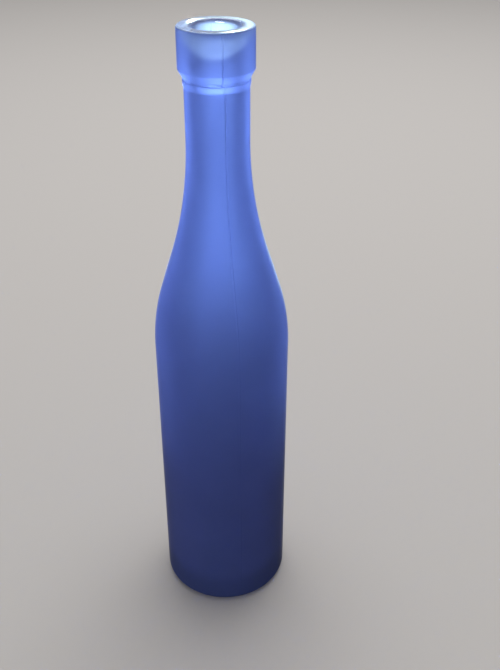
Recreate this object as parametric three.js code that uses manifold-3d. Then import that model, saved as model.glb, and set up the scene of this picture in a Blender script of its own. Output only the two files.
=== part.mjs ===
// Slim glass bottle with a plain collar mouth for a cork, in millimetres.
// +Z is up, the bottle's axis is Z and it stands on z = 0. The front faces -Y.
//
// The bottle is one piece of glass: a turned wall with a pushed-up base, a straight body, a long sloping
// shoulder, a straight neck, a low bead below the mouth and a thick collar with a flat rim. The bore is
// narrower in the mouth than in the neck. The raised lines that the mould leaves are joined to that wall.

import * as THREE from "three";
import { mergeVertices } from "three/addons/utils/BufferGeometryUtils.js";
import Module from "manifold-3d";

const wasm = await Module();
wasm.setup();

// Driving dimensions: whole bottle
const OVERALL_HEIGHT = 274.5;
const BODY_DIAMETER = 60;
const BODY_WALL = 3.4;
const NECK_BORE_DIAMETER = 20.6;
const NECK_WALL = 2.6;

// Driving dimensions: shoulder
const SHOULDER_ARC = 93; // radius of the convex arc that leaves the body
const FLANK_LENGTH = 18; // straight slope between the two arcs
const SWEEP_ARC = 163; // radius of the concave arc that runs into the neck
const NECK_LENGTH = 21; // straight neck above the sweep

// Driving dimensions: mouth
const COLLAR_HEIGHT = 16;
const COLLAR_PROUD = 1.75; // how far the collar stands out from the bead
const COLLAR_CHAMFER_HEIGHT = 2.9;
const BEAD_HEIGHT = 1.9;
const BEAD_PROUD = 0.4; // how far the bead stands out from the neck
const BEAD_RUNOUT = 2.1; // height over which the bead dies into the neck
const PARTING_GROOVE = 0.3; // depth and half height of the line where the two moulds met
const RIM_ROUND = 0.9;
const MOUTH_BORE_DIAMETER = 19;
const MOUTH_BORE_ROUND = 1.8;
const BORE_STEP_DROP = 0.6; // from the parting line down to where the bore starts to widen
const BORE_STEP_HEIGHT = 2.3; // height over which it widens to the neck's bore

// Driving dimensions: base
const HEEL_ROUND = 4;
const BEARING_WIDTH = 5; // flat ring that the bottle stands on
const PUSH_UP = 5;
const BASE_THICKNESS = 6;
const INNER_HEEL_ROUND = 8;

// Driving dimensions: mould lines
const SEAM_PROUD = 0.25;
const SEAM_WIDTH = 0.7;
const SEAM_ROOT = 1; // how far the raised line reaches into the wall
const BODY_SEAM_TURN = 16; // degrees from the front, towards +X
const MOUTH_SEAM_TURN = 11;

// Facets
const TURN_STEPS = 48;
const LONG_ARC_STEPS = 8;
const SHORT_ARC_STEPS = 4;

const GLASS = { color: 0x3347b0, roughness: 0.45, metalness: 0, transparent: true, opacity: 0.75 };

// Radii and heights that follow from the driving dimensions
const bodyRadius = BODY_DIAMETER / 2;
const innerBodyRadius = bodyRadius - BODY_WALL;
const neckBoreRadius = NECK_BORE_DIAMETER / 2;
const mouthBoreRadius = MOUTH_BORE_DIAMETER / 2;
const neckRadius = neckBoreRadius + NECK_WALL;
const beadRadius = neckRadius + BEAD_PROUD;
const collarRadius = beadRadius + COLLAR_PROUD;
const bearingOuterRadius = bodyRadius - HEEL_ROUND;
const bearingInnerRadius = bearingOuterRadius - BEARING_WIDTH;

const collarBottom = OVERALL_HEIGHT - COLLAR_HEIGHT;
const beadTop = collarBottom - COLLAR_CHAMFER_HEIGHT;
const beadBottom = beadTop - BEAD_HEIGHT;
const partingHeight = beadTop - BEAD_HEIGHT / 2;
const neckTop = beadBottom - BEAD_RUNOUT;
const sweepTop = neckTop - NECK_LENGTH;
const boreStepTop = partingHeight - BORE_STEP_DROP;

const point = (radius, height) => new THREE.Vector2(radius, height);

/** Points of an arc in the (radius, height) plane, from one angle to another in radians. */
function arc(centre, arcRadius, from, to, steps) {
  const points = [];
  for (let i = 0; i <= steps; i++) {
    const angle = from + ((to - from) * i) / steps;
    points.push(point(centre.x + arcRadius * Math.cos(angle), centre.y + arcRadius * Math.sin(angle)));
  }
  return points;
}

/** Points of a shallow dome, from its rim to its crown on the axis. */
function dome(rimRadius, rimHeight, crownHeight) {
  const rise = crownHeight - rimHeight;
  const domeRadius = (rimRadius ** 2 + rise ** 2) / (2 * rise);
  const centre = point(0, crownHeight - domeRadius);
  const rimAngle = Math.atan2(rimHeight - centre.y, rimRadius);
  return arc(centre, domeRadius, rimAngle, Math.PI / 2, SHORT_ARC_STEPS);
}

/**
 * Points of a shoulder, from the straight body up to the straight neck: a convex arc, a straight slope and
 * a concave arc, each running smoothly into the next. The slope's angle is the one that takes up the
 * difference between the two radii.
 */
function shoulder(lowRadius, highRadius, convexArc, concaveArc) {
  const arcs = convexArc + concaveArc;
  const drop = lowRadius - highRadius;
  const slope = Math.acos((arcs - drop) / Math.hypot(arcs, FLANK_LENGTH)) - Math.atan2(FLANK_LENGTH, arcs);
  const bottom = sweepTop - arcs * Math.sin(slope) - FLANK_LENGTH * Math.cos(slope);
  const convexCentre = point(lowRadius - convexArc, bottom);
  const concaveCentre = point(highRadius + concaveArc, sweepTop);
  return [
    ...arc(convexCentre, convexArc, 0, slope, LONG_ARC_STEPS),
    ...arc(concaveCentre, concaveArc, Math.PI + slope, Math.PI, LONG_ARC_STEPS),
  ];
}

/** Outside of the glass that the body mould shapes, from the top of the heel to the parting line. */
function bodyOutside() {
  return [
    point(bodyRadius, HEEL_ROUND),
    ...shoulder(bodyRadius, neckRadius, SHOULDER_ARC, SWEEP_ARC),
    point(neckRadius, neckTop),
    point(beadRadius, beadBottom),
    point(beadRadius, partingHeight - PARTING_GROOVE),
  ];
}

/** Outside of the glass that the mouth mould shapes, from the parting line to the rim's round edge. */
function mouthOutside() {
  return [
    point(beadRadius, partingHeight + PARTING_GROOVE),
    point(beadRadius, beadTop),
    point(collarRadius, collarBottom),
    point(collarRadius, OVERALL_HEIGHT - RIM_ROUND),
  ];
}

/** The whole section: up the outside from the axis, over the rim and down the inside to the axis. */
function section() {
  const rimCentre = point(collarRadius - RIM_ROUND, OVERALL_HEIGHT - RIM_ROUND);
  const lipCentre = point(mouthBoreRadius + MOUTH_BORE_ROUND, OVERALL_HEIGHT - MOUTH_BORE_ROUND);
  const heelCentre = point(bearingOuterRadius, HEEL_ROUND);
  const innerFloorRadius = innerBodyRadius - INNER_HEEL_ROUND;
  const innerHeelCentre = point(innerFloorRadius, BASE_THICKNESS + INNER_HEEL_ROUND);
  const quarter = Math.PI / 2;

  const underside = dome(bearingInnerRadius, 0, PUSH_UP).reverse();
  const heel = arc(heelCentre, HEEL_ROUND, -quarter, 0, SHORT_ARC_STEPS);
  const partingLine = point(beadRadius - PARTING_GROOVE, partingHeight);
  const rim = arc(rimCentre, RIM_ROUND, 0, quarter, SHORT_ARC_STEPS);
  const lip = arc(lipCentre, MOUTH_BORE_ROUND, quarter, 2 * quarter, SHORT_ARC_STEPS);
  const boreStep = [
    point(mouthBoreRadius, boreStepTop),
    point(neckBoreRadius, boreStepTop - BORE_STEP_HEIGHT),
  ];
  const innerShoulder = shoulder(
    innerBodyRadius,
    neckBoreRadius,
    SHOULDER_ARC - BODY_WALL,
    SWEEP_ARC + NECK_WALL,
  ).reverse();
  const innerHeel = arc(innerHeelCentre, INNER_HEEL_ROUND, 0, -quarter, SHORT_ARC_STEPS);
  const innerFloor = dome(innerFloorRadius, BASE_THICKNESS, BASE_THICKNESS + PUSH_UP);

  const points = [
    ...underside,
    ...heel,
    ...bodyOutside(),
    partingLine,
    ...mouthOutside(),
    ...rim,
    ...lip,
    ...boreStep,
    ...innerShoulder,
    ...innerHeel,
    ...innerFloor,
  ];
  return points.filter((p, i) => i === 0 || p.distanceTo(points[i - 1]) > 1e-6);
}

/** Turns a geometry made with +Y up so that +Z is up. */
const standUp = (geometry) => geometry.rotateX(Math.PI / 2);

/** The turned wall of glass. */
function wall() {
  return standUp(new THREE.LatheGeometry(section(), TURN_STEPS));
}

/** One raised mould line, following a run of outside points on the side turned away from the front. */
function seam(outside, turnDegrees) {
  const raised = outside.map((p) => point(p.x + SEAM_PROUD, p.y));
  const root = outside.map((p) => point(p.x - SEAM_ROOT, p.y)).reverse();
  const outline = new THREE.Shape([...raised, ...root]);
  const geometry = new THREE.ExtrudeGeometry(outline, { depth: SEAM_WIDTH, bevelEnabled: false });
  geometry.translate(0, 0, -SEAM_WIDTH / 2);
  return standUp(geometry).rotateZ(THREE.MathUtils.degToRad(turnDegrees - 90));
}

/** The mould lines come in pairs, on opposite sides. */
function seams() {
  const mouthRun = mouthOutside().slice(2);
  const turns = [0, 180];
  return turns.flatMap((turn) => [
    seam(bodyOutside(), BODY_SEAM_TURN + turn),
    seam(mouthRun, MOUTH_SEAM_TURN + turn),
  ]);
}

/** A closed geometry as a solid that can be joined. */
function solid(geometry) {
  geometry.deleteAttribute("normal");
  geometry.deleteAttribute("uv");
  const merged = mergeVertices(geometry, 1e-4);
  return new wasm.Manifold(
    new wasm.Mesh({
      numProp: 3,
      vertProperties: merged.getAttribute("position").array,
      triVerts: new Uint32Array(merged.index.array),
    }),
  );
}

/** A joined solid as a geometry with flat-shaded faces. */
function geometryOf(joined) {
  const { vertProperties, triVerts } = joined.getMesh();
  const indexed = new THREE.BufferGeometry();
  indexed.setAttribute("position", new THREE.BufferAttribute(vertProperties, 3));
  indexed.setIndex(new THREE.BufferAttribute(triVerts, 1));
  const geometry = indexed.toNonIndexed();
  geometry.computeVertexNormals();
  return geometry;
}

function bottle() {
  const joined = seams().reduce((whole, line) => whole.add(solid(line)), solid(wall()));
  const mesh = new THREE.Mesh(geometryOf(joined), new THREE.MeshStandardMaterial(GLASS));
  mesh.name = "bottle";
  return mesh;
}

const part = new THREE.Group();
part.add(bottle());

export default part;
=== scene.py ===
"""A slim glass bottle with a frosted blue coat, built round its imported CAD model.

The bottle is one piece of clear glass with a thin matt blue coat on the outside. Its wall is turned from one
outline, fine enough for the mould lines, the parting line and the uneven inside to be real shape. Sizes are
in millimetres until a mesh is made, and the overall height and diameter come from the CAD model.
"""

import math

import bpy
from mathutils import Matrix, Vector, noise


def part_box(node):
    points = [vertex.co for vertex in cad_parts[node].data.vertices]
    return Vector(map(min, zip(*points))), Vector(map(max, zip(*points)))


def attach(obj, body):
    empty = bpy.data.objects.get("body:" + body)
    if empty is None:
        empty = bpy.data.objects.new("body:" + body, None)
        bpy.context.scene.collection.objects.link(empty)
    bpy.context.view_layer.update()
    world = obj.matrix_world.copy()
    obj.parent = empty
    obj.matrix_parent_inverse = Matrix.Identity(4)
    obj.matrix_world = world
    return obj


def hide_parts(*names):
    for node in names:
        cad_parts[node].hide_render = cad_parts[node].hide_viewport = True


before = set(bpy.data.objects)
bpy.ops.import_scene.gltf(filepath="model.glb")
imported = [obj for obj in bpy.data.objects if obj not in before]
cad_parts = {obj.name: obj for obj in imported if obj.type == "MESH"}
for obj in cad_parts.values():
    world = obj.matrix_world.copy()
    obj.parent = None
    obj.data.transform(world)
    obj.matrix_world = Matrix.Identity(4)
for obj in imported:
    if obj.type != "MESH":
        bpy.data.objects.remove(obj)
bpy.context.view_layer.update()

MM = 0.001
high_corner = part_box("bottle")[1]
HEIGHT = high_corner.z / MM
BODY_RADIUS = high_corner.x / MM

# Wall and bore
BODY_WALL = 3.4
NECK_WALL = 2.6
MOUTH_BORE_RADIUS = 9.5
NECK_BORE_RADIUS = 10.3
NECK_RADIUS = NECK_BORE_RADIUS + NECK_WALL
BORE_STEP_DROP = 0.6  # from the parting line down to where the bore starts to widen
BORE_STEP_HEIGHT = 2.3

# Mouth
COLLAR_HEIGHT = 16.0
CHAMFER_HEIGHT = 2.9
BEAD_HEIGHT = 1.9
BEAD_RUNOUT = 2.1
NECK_LENGTH = 21.0
BEAD_PROUD = 0.4
COLLAR_PROUD = 1.75
BEAD_RADIUS = NECK_RADIUS + BEAD_PROUD
COLLAR_RADIUS = BEAD_RADIUS + COLLAR_PROUD
GROOVE = 0.3  # depth and half height of the parting line

# Heights down the bottle
COLLAR_BOTTOM = HEIGHT - COLLAR_HEIGHT
BEAD_TOP = COLLAR_BOTTOM - CHAMFER_HEIGHT
BEAD_BOTTOM = BEAD_TOP - BEAD_HEIGHT
PARTING = BEAD_TOP - BEAD_HEIGHT / 2
NECK_TOP = BEAD_BOTTOM - BEAD_RUNOUT
SWEEP_TOP = NECK_TOP - NECK_LENGTH
BORE_STEP_TOP = PARTING - BORE_STEP_DROP

# Shoulder: two arcs on a straight slope
SHOULDER_ARC = 93.0
SWEEP_ARC = 163.0
SLOPE = math.radians(17.4)

# Base
BEARING_WIDTH = 5.0
PUSH_UP = 5.0
BASE_THICKNESS = 6.0

# Roundings
HEEL_ROUND = 4.0
INNER_HEEL_ROUND = 8.0
NECK_TOP_ROUND = 2.0
BEAD_BOTTOM_ROUND = 1.5
GROOVE_EDGE_ROUND = 0.1
GROOVE_ROUND = 0.08
BEAD_TOP_ROUND = 0.5
COLLAR_BOTTOM_ROUND = 0.6
RIM_ROUND = 0.9
MOUTH_BORE_ROUND = 1.8
BORE_STEP_ROUND = 0.8

# Mould lines, as turns from the front towards +X
BODY_SEAM = math.radians(16)
MOUTH_SEAM = math.radians(11)
SEAM_PROUD = 0.28
SEAM_HALF_WIDTH = 0.42
SEAM_START = (HEEL_ROUND, HEEL_ROUND + 6)  # heights over which a line grows out of the heel
SEAM_END = (HEIGHT - RIM_ROUND, HEIGHT - 2)  # and over which it dies out below the rim
SEAM_FAINT = 0.25  # share of its height that a line keeps on the body
SEAM_STRONGER = (165, 195)  # heights over which it reaches its full height

# Unevenness of the wall
INSIDE_UNEVEN = 0.25
INSIDE_WAVE = 22
INSIDE_SEED = 11
INSIDE_EVEN_MOUTH = (HEIGHT - 4, HEIGHT - 30)
OUTSIDE_UNEVEN = 0.04
OUTSIDE_WAVE = 30
OUTSIDE_SEED = 3
OUTSIDE_UNEVEN_FROM = 12
OUTSIDE_UNEVEN_TO = SWEEP_TOP + 15

# Glass and coat
GLASS_CLEAR = (0.96, 0.98, 0.98)
GLASS_ROUGHNESS = 0.06
GLASS_IOR = 1.5
REFLECTIVITY = 0.05
COAT_BLUE = (0.036, 0.048, 0.19)
COAT_REFLECTION = (0.3, 0.45, 1)
COAT_ROUGHNESS = 0.82
COAT_GRAZING_ROUGHNESS = 0.3
GRAZING_FROM = 0.75  # how far the surface turns away before the coat gets glossier, where 1 is edge on
COAT_SHOWS_THROUGH = 0.88
COAT_EDGE = (COLLAR_RADIUS - 0.5, COLLAR_RADIUS - 0.15)  # radii on the rim over which the coat sets in

# Cloudiness and grain of the coat, with scales per metre
CLOUD_SCALE = 45
CLOUD_DETAIL = 4
CLOUD_THIN = 0.92
CLOUD_THICK = 1.06
GRAIN_SCALE = 2200
GRAIN_DETAIL = 3
GRAIN_STRENGTH = 0.15
GRAIN_DEPTH = 0.0001

# Floor, as a half side in metres
FLOOR_REACH = 6.0
FLOOR_COLOUR = (0.42, 0.4, 0.385)
FLOOR_ROUGHNESS = 0.9
FLOOR_REFLECTIVITY = 0.2

# Lights, with places and sizes in metres and power in watts
MIDDLE = (0, 0, 0.2)
WINDOW_PLACE = (0.02, 1.32, 0.8)
WINDOW_TARGET = (0, 0, 0.175)
WINDOW_COLOUR = (0.72, 0.97, 0.76)
WINDOW_BEAM = math.radians(8.6)
WINDOW_SIZE = 0.02
WINDOW_POWER = 4100
FILL_PLACE = (-0.4, -1.2, 0.7)
FILL_SIDE = 1.0
FILL_POWER = 39
CEILING_PLACE = (0.1, 0.7, 1.5)
CEILING_SIDE = 1.6
CEILING_POWER = 26
WORLD_STRENGTH = 0.5

# Camera, with its place in metres
CAMERA_PLACE = (0.01275, -0.3362, 0.3458)
CAMERA_LOOKS_DOWN = math.radians(31.57)
CAMERA_LENS = 46.94
CAMERA_SENSOR = 36

# Mesh fineness
SPACING = 1.2
FILLET_STEP = math.radians(9)
COLUMNS = 192
SEAM_COLUMN_STEP = math.radians(0.16)
SEAM_COLUMN_REACH = math.radians(4)


def fillet(before, corner, after, radius):
    """Points of the arc that rounds a corner."""
    incoming = (corner - before).normalized()
    outgoing = (after - corner).normalized()
    turn = math.atan2(incoming.cross(outgoing), incoming.dot(outgoing))
    side = math.copysign(1, turn)
    start = corner - incoming * radius * math.tan(abs(turn) / 2)
    centre = start + Vector((-incoming.y, incoming.x)) * radius * side
    steps = max(math.ceil(abs(turn) / FILLET_STEP), math.ceil(radius * abs(turn) / SPACING))
    first = math.atan2(start.y - centre.y, start.x - centre.x)
    angles = [first + turn * i / steps for i in range(steps + 1)]
    return [centre + Vector((math.cos(a), math.sin(a))) * radius for a in angles]


def rounded(corners):
    """An outline through (radius, height, rounding) corners, with even steps along its straight runs."""
    places = [Vector(c[:2]) for c in corners]
    path = [places[0]]
    for i in range(1, len(corners) - 1):
        rounding = corners[i][2]
        if rounding:
            path += fillet(places[i - 1], places[i], places[i + 1], rounding)
        else:
            path.append(places[i])
    path.append(places[-1])
    fine = [path[0]]
    for a, b in zip(path, path[1:]):
        steps = max(1, math.ceil((b - a).length / SPACING))
        fine += [a.lerp(b, i / steps) for i in range(1, steps + 1)]
    return fine


def dome(rim_radius, rim_height):
    """Points of the pushed-up base from the axis out to the dome's rim, without the rim itself."""
    steps = math.ceil(rim_radius / SPACING)
    return [
        Vector((rim_radius * i / steps, rim_height + PUSH_UP * (1 - (i / steps) ** 2)))
        for i in range(steps)
    ]


def shoulder(low_radius, high_radius, convex, concave):
    """The two corners of a shoulder, from the body up."""
    sweep_corner = SWEEP_TOP - concave * math.tan(SLOPE / 2)
    body_corner = sweep_corner - (low_radius - high_radius) / math.tan(SLOPE)
    return [(low_radius, body_corner, convex), (high_radius, sweep_corner, concave)]


def rim_middle():
    """Where the outside's outline ends and the inside's begins."""
    return ((COLLAR_RADIUS + MOUTH_BORE_RADIUS) / 2, HEIGHT, 0)


def outside():
    """Outline of the outside, from the axis under the base to the middle of the rim."""
    bearing_inner = BODY_RADIUS - HEEL_ROUND - BEARING_WIDTH
    corners = [
        (bearing_inner, 0, 0),
        (BODY_RADIUS, 0, HEEL_ROUND),
        *shoulder(BODY_RADIUS, NECK_RADIUS, SHOULDER_ARC, SWEEP_ARC),
        (NECK_RADIUS, NECK_TOP, NECK_TOP_ROUND),
        (BEAD_RADIUS, BEAD_BOTTOM, BEAD_BOTTOM_ROUND),
        (BEAD_RADIUS, PARTING - GROOVE, GROOVE_EDGE_ROUND),
        (BEAD_RADIUS - GROOVE, PARTING, GROOVE_ROUND),
        (BEAD_RADIUS, PARTING + GROOVE, GROOVE_EDGE_ROUND),
        (BEAD_RADIUS, BEAD_TOP, BEAD_TOP_ROUND),
        (COLLAR_RADIUS, COLLAR_BOTTOM, COLLAR_BOTTOM_ROUND),
        (COLLAR_RADIUS, HEIGHT, RIM_ROUND),
        rim_middle(),
    ]
    return dome(bearing_inner, 0) + rounded(corners)


def inside():
    """Outline of the inside, from the middle of the rim down to the axis over the base."""
    inner_radius = BODY_RADIUS - BODY_WALL
    floor_radius = inner_radius - INNER_HEEL_ROUND
    body_corner, sweep_corner = shoulder(
        inner_radius, NECK_BORE_RADIUS, SHOULDER_ARC - BODY_WALL, SWEEP_ARC + NECK_WALL
    )
    corners = [
        rim_middle(),
        (MOUTH_BORE_RADIUS, HEIGHT, MOUTH_BORE_ROUND),
        (MOUTH_BORE_RADIUS, BORE_STEP_TOP, BORE_STEP_ROUND),
        (NECK_BORE_RADIUS, BORE_STEP_TOP - BORE_STEP_HEIGHT, BORE_STEP_ROUND),
        sweep_corner,
        body_corner,
        (inner_radius, BASE_THICKNESS, INNER_HEEL_ROUND),
        (floor_radius, BASE_THICKNESS, 0),
    ]
    return rounded(corners)[1:] + dome(floor_radius, BASE_THICKNESS)[::-1]


def columns():
    """Turns of the mesh's columns: even all round, and closer across the mould lines."""
    turns = {2 * math.pi * i / COLUMNS for i in range(COLUMNS)}
    middle = (BODY_SEAM + MOUTH_SEAM) / 2
    reach = (BODY_SEAM - MOUTH_SEAM) / 2 + SEAM_COLUMN_REACH
    count = round(2 * reach / SEAM_COLUMN_STEP)
    for half in (0, math.pi):
        first = half + middle - reach
        last = half + middle + reach
        turns = {t for t in turns if not first <= t <= last}
        turns |= {first + (last - first) * i / count for i in range(count + 1)}
    return sorted(turns)


def smooth_step(low, high, value):
    """0 at low and 1 at high, eased at both ends. Low may be the larger of the two."""
    share = min(1.0, max(0.0, (value - low) / (high - low)))
    return share * share * (3 - 2 * share)


def seam_height(turn, radius, height):
    """How far a mould line raises the outside here."""
    seam = BODY_SEAM if height < PARTING else MOUTH_SEAM
    away = (turn - seam + math.pi / 2) % math.pi - math.pi / 2
    across = abs(away) * radius / SEAM_HALF_WIDTH
    if across >= 1:
        return 0.0
    fade = smooth_step(*SEAM_START, height) * smooth_step(*SEAM_END, height)
    fade *= SEAM_FAINT + (1 - SEAM_FAINT) * smooth_step(*SEAM_STRONGER, height)
    return SEAM_PROUD * fade * (1 - across**2) ** 2


def uneven(place, wave, seed):
    """Smooth noise of -1 to 1 at this place, with bumps about one wave across."""
    return noise.noise(place / wave + Vector((seed, seed, seed)))


def outside_push(place, turn, radius, height):
    """How far the outside stands out from its outline here."""
    push = seam_height(turn, radius, height) if radius > NECK_RADIUS - 1 else 0
    if OUTSIDE_UNEVEN_FROM < height < OUTSIDE_UNEVEN_TO:
        push += OUTSIDE_UNEVEN * uneven(place, OUTSIDE_WAVE, OUTSIDE_SEED)
    return push


def inside_push(place, height):
    """How far the inside is pushed into the wall here."""
    return INSIDE_UNEVEN * uneven(place, INSIDE_WAVE, INSIDE_SEED) * smooth_step(*INSIDE_EVEN_MOUTH, height)


def coat_share(radius, height):
    """The coat covers the outside and thins out over the rim's round edge."""
    if height > HEIGHT - RIM_ROUND:
        return smooth_step(*COAT_EDGE, radius)
    return 1.0


def wall_points(outer, inner, turns):
    """The wall's vertices, ring by ring from the axis to the axis, and the coat's share at each."""
    vertices = []
    coat = []
    for index, (radius, height) in enumerate(outer + inner):
        on_outside = index < len(outer)
        if radius == 0:
            vertices.append(Vector((0, 0, height)))
            coat.append(1.0 if on_outside else 0.0)
            continue
        for turn in turns:
            direction = Vector((math.sin(turn), -math.cos(turn), 0))
            place = direction * radius + Vector((0, 0, height))
            if on_outside:
                push = outside_push(place, turn, radius, height)
            else:
                push = inside_push(place, height)
            vertices.append(place + direction * push)
            coat.append(coat_share(radius, height) if on_outside else 0.0)
    return vertices, coat


def wall_faces(rings, count):
    """Faces between the rings of count vertices each, closed at both ends by a vertex on the axis."""
    faces = []
    last_ring = 1 + (rings - 1) * count
    last = last_ring + count
    neighbours = [(i, (i + 1) % count) for i in range(count)]
    for a in range(1, last_ring, count):
        b = a + count
        faces += [(a + i, a + j, b + j, b + i) for i, j in neighbours]
    for i, j in neighbours:
        faces.append((0, 1 + j, 1 + i))
        faces.append((last, last_ring + i, last_ring + j))
    return faces


def bottle_mesh():
    """The closed wall of the bottle, with its coat marked as 1 in the attribute "coat"."""
    outer = outside()
    inner = inside()
    turns = columns()
    vertices, coat = wall_points(outer, inner, turns)
    rings = len(outer) + len(inner) - 2
    mesh = bpy.data.meshes.new("bottle_glass")
    mesh.from_pydata([v * MM for v in vertices], [], wall_faces(rings, len(turns)))
    attribute = mesh.attributes.new("coat", "FLOAT", "POINT")
    attribute.data.foreach_set("value", coat)
    mesh.shade_smooth()
    mesh.update()
    return mesh


class Nodes:
    """Adds and joins the nodes of one material."""

    def __init__(self, material):
        material.use_nodes = True
        self.tree = material.node_tree
        self.tree.nodes.clear()

    def add(self, kind, links=None, values=None, **settings):
        """A node with its linked sockets, its set sockets and its settings."""
        node = self.tree.nodes.new(kind)
        for name, value in settings.items():
            setattr(node, name, value)
        for socket, value in (values or {}).items():
            node.inputs[socket].default_value = value
        for socket, source in (links or {}).items():
            self.tree.links.new(source, node.inputs[socket])
        return node

    def noise(self, place, scale, detail):
        node = self.add("ShaderNodeTexNoise", {"Vector": place}, {"Scale": scale, "Detail": detail})
        return node.outputs["Fac"]

    def map(self, source, low, high, **ends):
        """The source's range, which is 0 to 1 unless ends says otherwise, spread over low to high."""
        values = {"To Min": low, "To Max": high}
        values.update({name.replace("_", " ").title(): value for name, value in ends.items()})
        return self.add("ShaderNodeMapRange", {"Value": source}, values).outputs["Result"]


def cloudy_blue(nodes, place):
    """The coat's colour, a little thinner and thicker from place to place."""
    cloud = nodes.noise(place, CLOUD_SCALE, CLOUD_DETAIL)
    density = nodes.map(cloud, CLOUD_THIN, CLOUD_THICK, from_min=0.3, from_max=0.7)
    blue = nodes.add("ShaderNodeVectorMath", {"Scale": density}, {0: COAT_BLUE}, operation="SCALE")
    return blue.outputs["Vector"]


def grain_bump(nodes, place):
    """The fine grain of the coat, as a normal."""
    grain = nodes.noise(place, GRAIN_SCALE, GRAIN_DETAIL)
    relief = {"Strength": GRAIN_STRENGTH, "Distance": GRAIN_DEPTH}
    return nodes.add("ShaderNodeBump", {"Height": grain}, relief).outputs["Normal"]


def coat_roughness(nodes, coat):
    """Clear glass is smooth. The coat is matt, and glossier where it is seen at a grazing angle."""
    facing = nodes.add("ShaderNodeLayerWeight").outputs["Facing"]
    coat_value = nodes.map(facing, COAT_ROUGHNESS, COAT_GRAZING_ROUGHNESS, from_min=GRAZING_FROM)
    links = {"Value": coat, "To Max": coat_value}
    return nodes.add("ShaderNodeMapRange", links, {"To Min": GLASS_ROUGHNESS}).outputs["Result"]


def glass_material():
    """Clear glass where the attribute "coat" is 0, and glass under a matt blue coat where it is 1."""
    material = bpy.data.materials.new("frosted_blue_glass")
    nodes = Nodes(material)
    coat = nodes.add("ShaderNodeAttribute", attribute_name="coat").outputs["Fac"]
    place = nodes.add("ShaderNodeTexCoord").outputs["Object"]
    colour = nodes.add(
        "ShaderNodeMix",
        {"Factor": coat, "B": cloudy_blue(nodes, place)},
        {"A": (*GLASS_CLEAR, 1)},
        data_type="RGBA",
    )
    reflection = nodes.add(
        "ShaderNodeMix",
        {"Factor": coat},
        {"A": (1, 1, 1, 1), "B": (*COAT_REFLECTION, 1)},
        data_type="RGBA",
    )
    shader = nodes.add(
        "ShaderNodeBsdfPrincipled",
        {
            "Base Color": colour.outputs["Result"],
            "Roughness": coat_roughness(nodes, coat),
            "Transmission Weight": nodes.map(coat, 1, COAT_SHOWS_THROUGH),
            "Specular Tint": reflection.outputs["Result"],
            "Normal": grain_bump(nodes, place),
        },
        {"IOR": GLASS_IOR, "Specular IOR Level": REFLECTIVITY},
    )
    nodes.add("ShaderNodeOutputMaterial", {"Surface": shader.outputs["BSDF"]})
    return material


def add_object(name, data):
    piece = bpy.data.objects.new(name, data)
    bpy.context.scene.collection.objects.link(piece)
    return piece


def bottle():
    piece = add_object("bottle_glass", bottle_mesh())
    piece.data.materials.append(glass_material())
    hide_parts("bottle")
    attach(piece, "root")
    return piece


def floor():
    mesh = bpy.data.meshes.new("floor")
    corners = [
        (-FLOOR_REACH, -FLOOR_REACH, 0),
        (FLOOR_REACH, -FLOOR_REACH, 0),
        (FLOOR_REACH, FLOOR_REACH, 0),
        (-FLOOR_REACH, FLOOR_REACH, 0),
    ]
    mesh.from_pydata(corners, [], [(0, 1, 2, 3)])
    piece = add_object("floor", mesh)
    material = bpy.data.materials.new("pale_floor")
    material.use_nodes = True
    shader = material.node_tree.nodes["Principled BSDF"]
    shader.inputs["Base Color"].default_value = (*FLOOR_COLOUR, 1)
    shader.inputs["Roughness"].default_value = FLOOR_ROUGHNESS
    shader.inputs["Specular IOR Level"].default_value = FLOOR_REFLECTIVITY
    piece.data.materials.append(material)


def lamp(data, place, target):
    """A light at this place, turned to its target and not seen by the camera itself."""
    piece = add_object(data.name, data)
    piece.location = place
    piece.rotation_euler = (Vector(target) - Vector(place)).to_track_quat("-Z", "Y").to_euler()
    piece.visible_camera = False
    return piece


def area_light(name, place, side, power):
    """A square soft light that looks at the middle of the bottle."""
    data = bpy.data.lights.new(name, "AREA")
    data.size = side
    data.energy = power
    return lamp(data, place, MIDDLE)


def window_light():
    """Greenish daylight from behind, a soft-edged beam that is strongest on the shoulder and the neck."""
    data = bpy.data.lights.new("window", "SPOT")
    data.spot_size = WINDOW_BEAM
    data.spot_blend = 1.0
    data.shadow_soft_size = WINDOW_SIZE
    data.energy = WINDOW_POWER
    data.color = WINDOW_COLOUR
    return lamp(data, WINDOW_PLACE, WINDOW_TARGET)


def lighting(piece):
    """Even light all round with a soft ceiling light, and two lights that fall on the bottle only."""
    world = bpy.data.worlds.new("studio")
    world.use_nodes = True
    background = world.node_tree.nodes["Background"]
    background.inputs["Color"].default_value = (1, 1, 1, 1)
    background.inputs["Strength"].default_value = WORLD_STRENGTH
    bpy.context.scene.world = world
    bottle_only = bpy.data.collections.new("lit_by_window")
    bottle_only.objects.link(piece)
    for light in (window_light(), area_light("fill", FILL_PLACE, FILL_SIDE, FILL_POWER)):
        light.light_linking.receiver_collection = bottle_only
    area_light("ceiling", CEILING_PLACE, CEILING_SIDE, CEILING_POWER)
    bpy.context.scene.view_settings.view_transform = "Standard"


def camera():
    data = bpy.data.cameras.new("camera")
    data.sensor_width = CAMERA_SENSOR
    data.lens = CAMERA_LENS
    lens = add_object("camera", data)
    lens.location = CAMERA_PLACE
    lens.rotation_euler = (math.pi / 2 - CAMERA_LOOKS_DOWN, 0, 0)
    bpy.context.scene.camera = lens


camera()
glass = bottle()
floor()
lighting(glass)
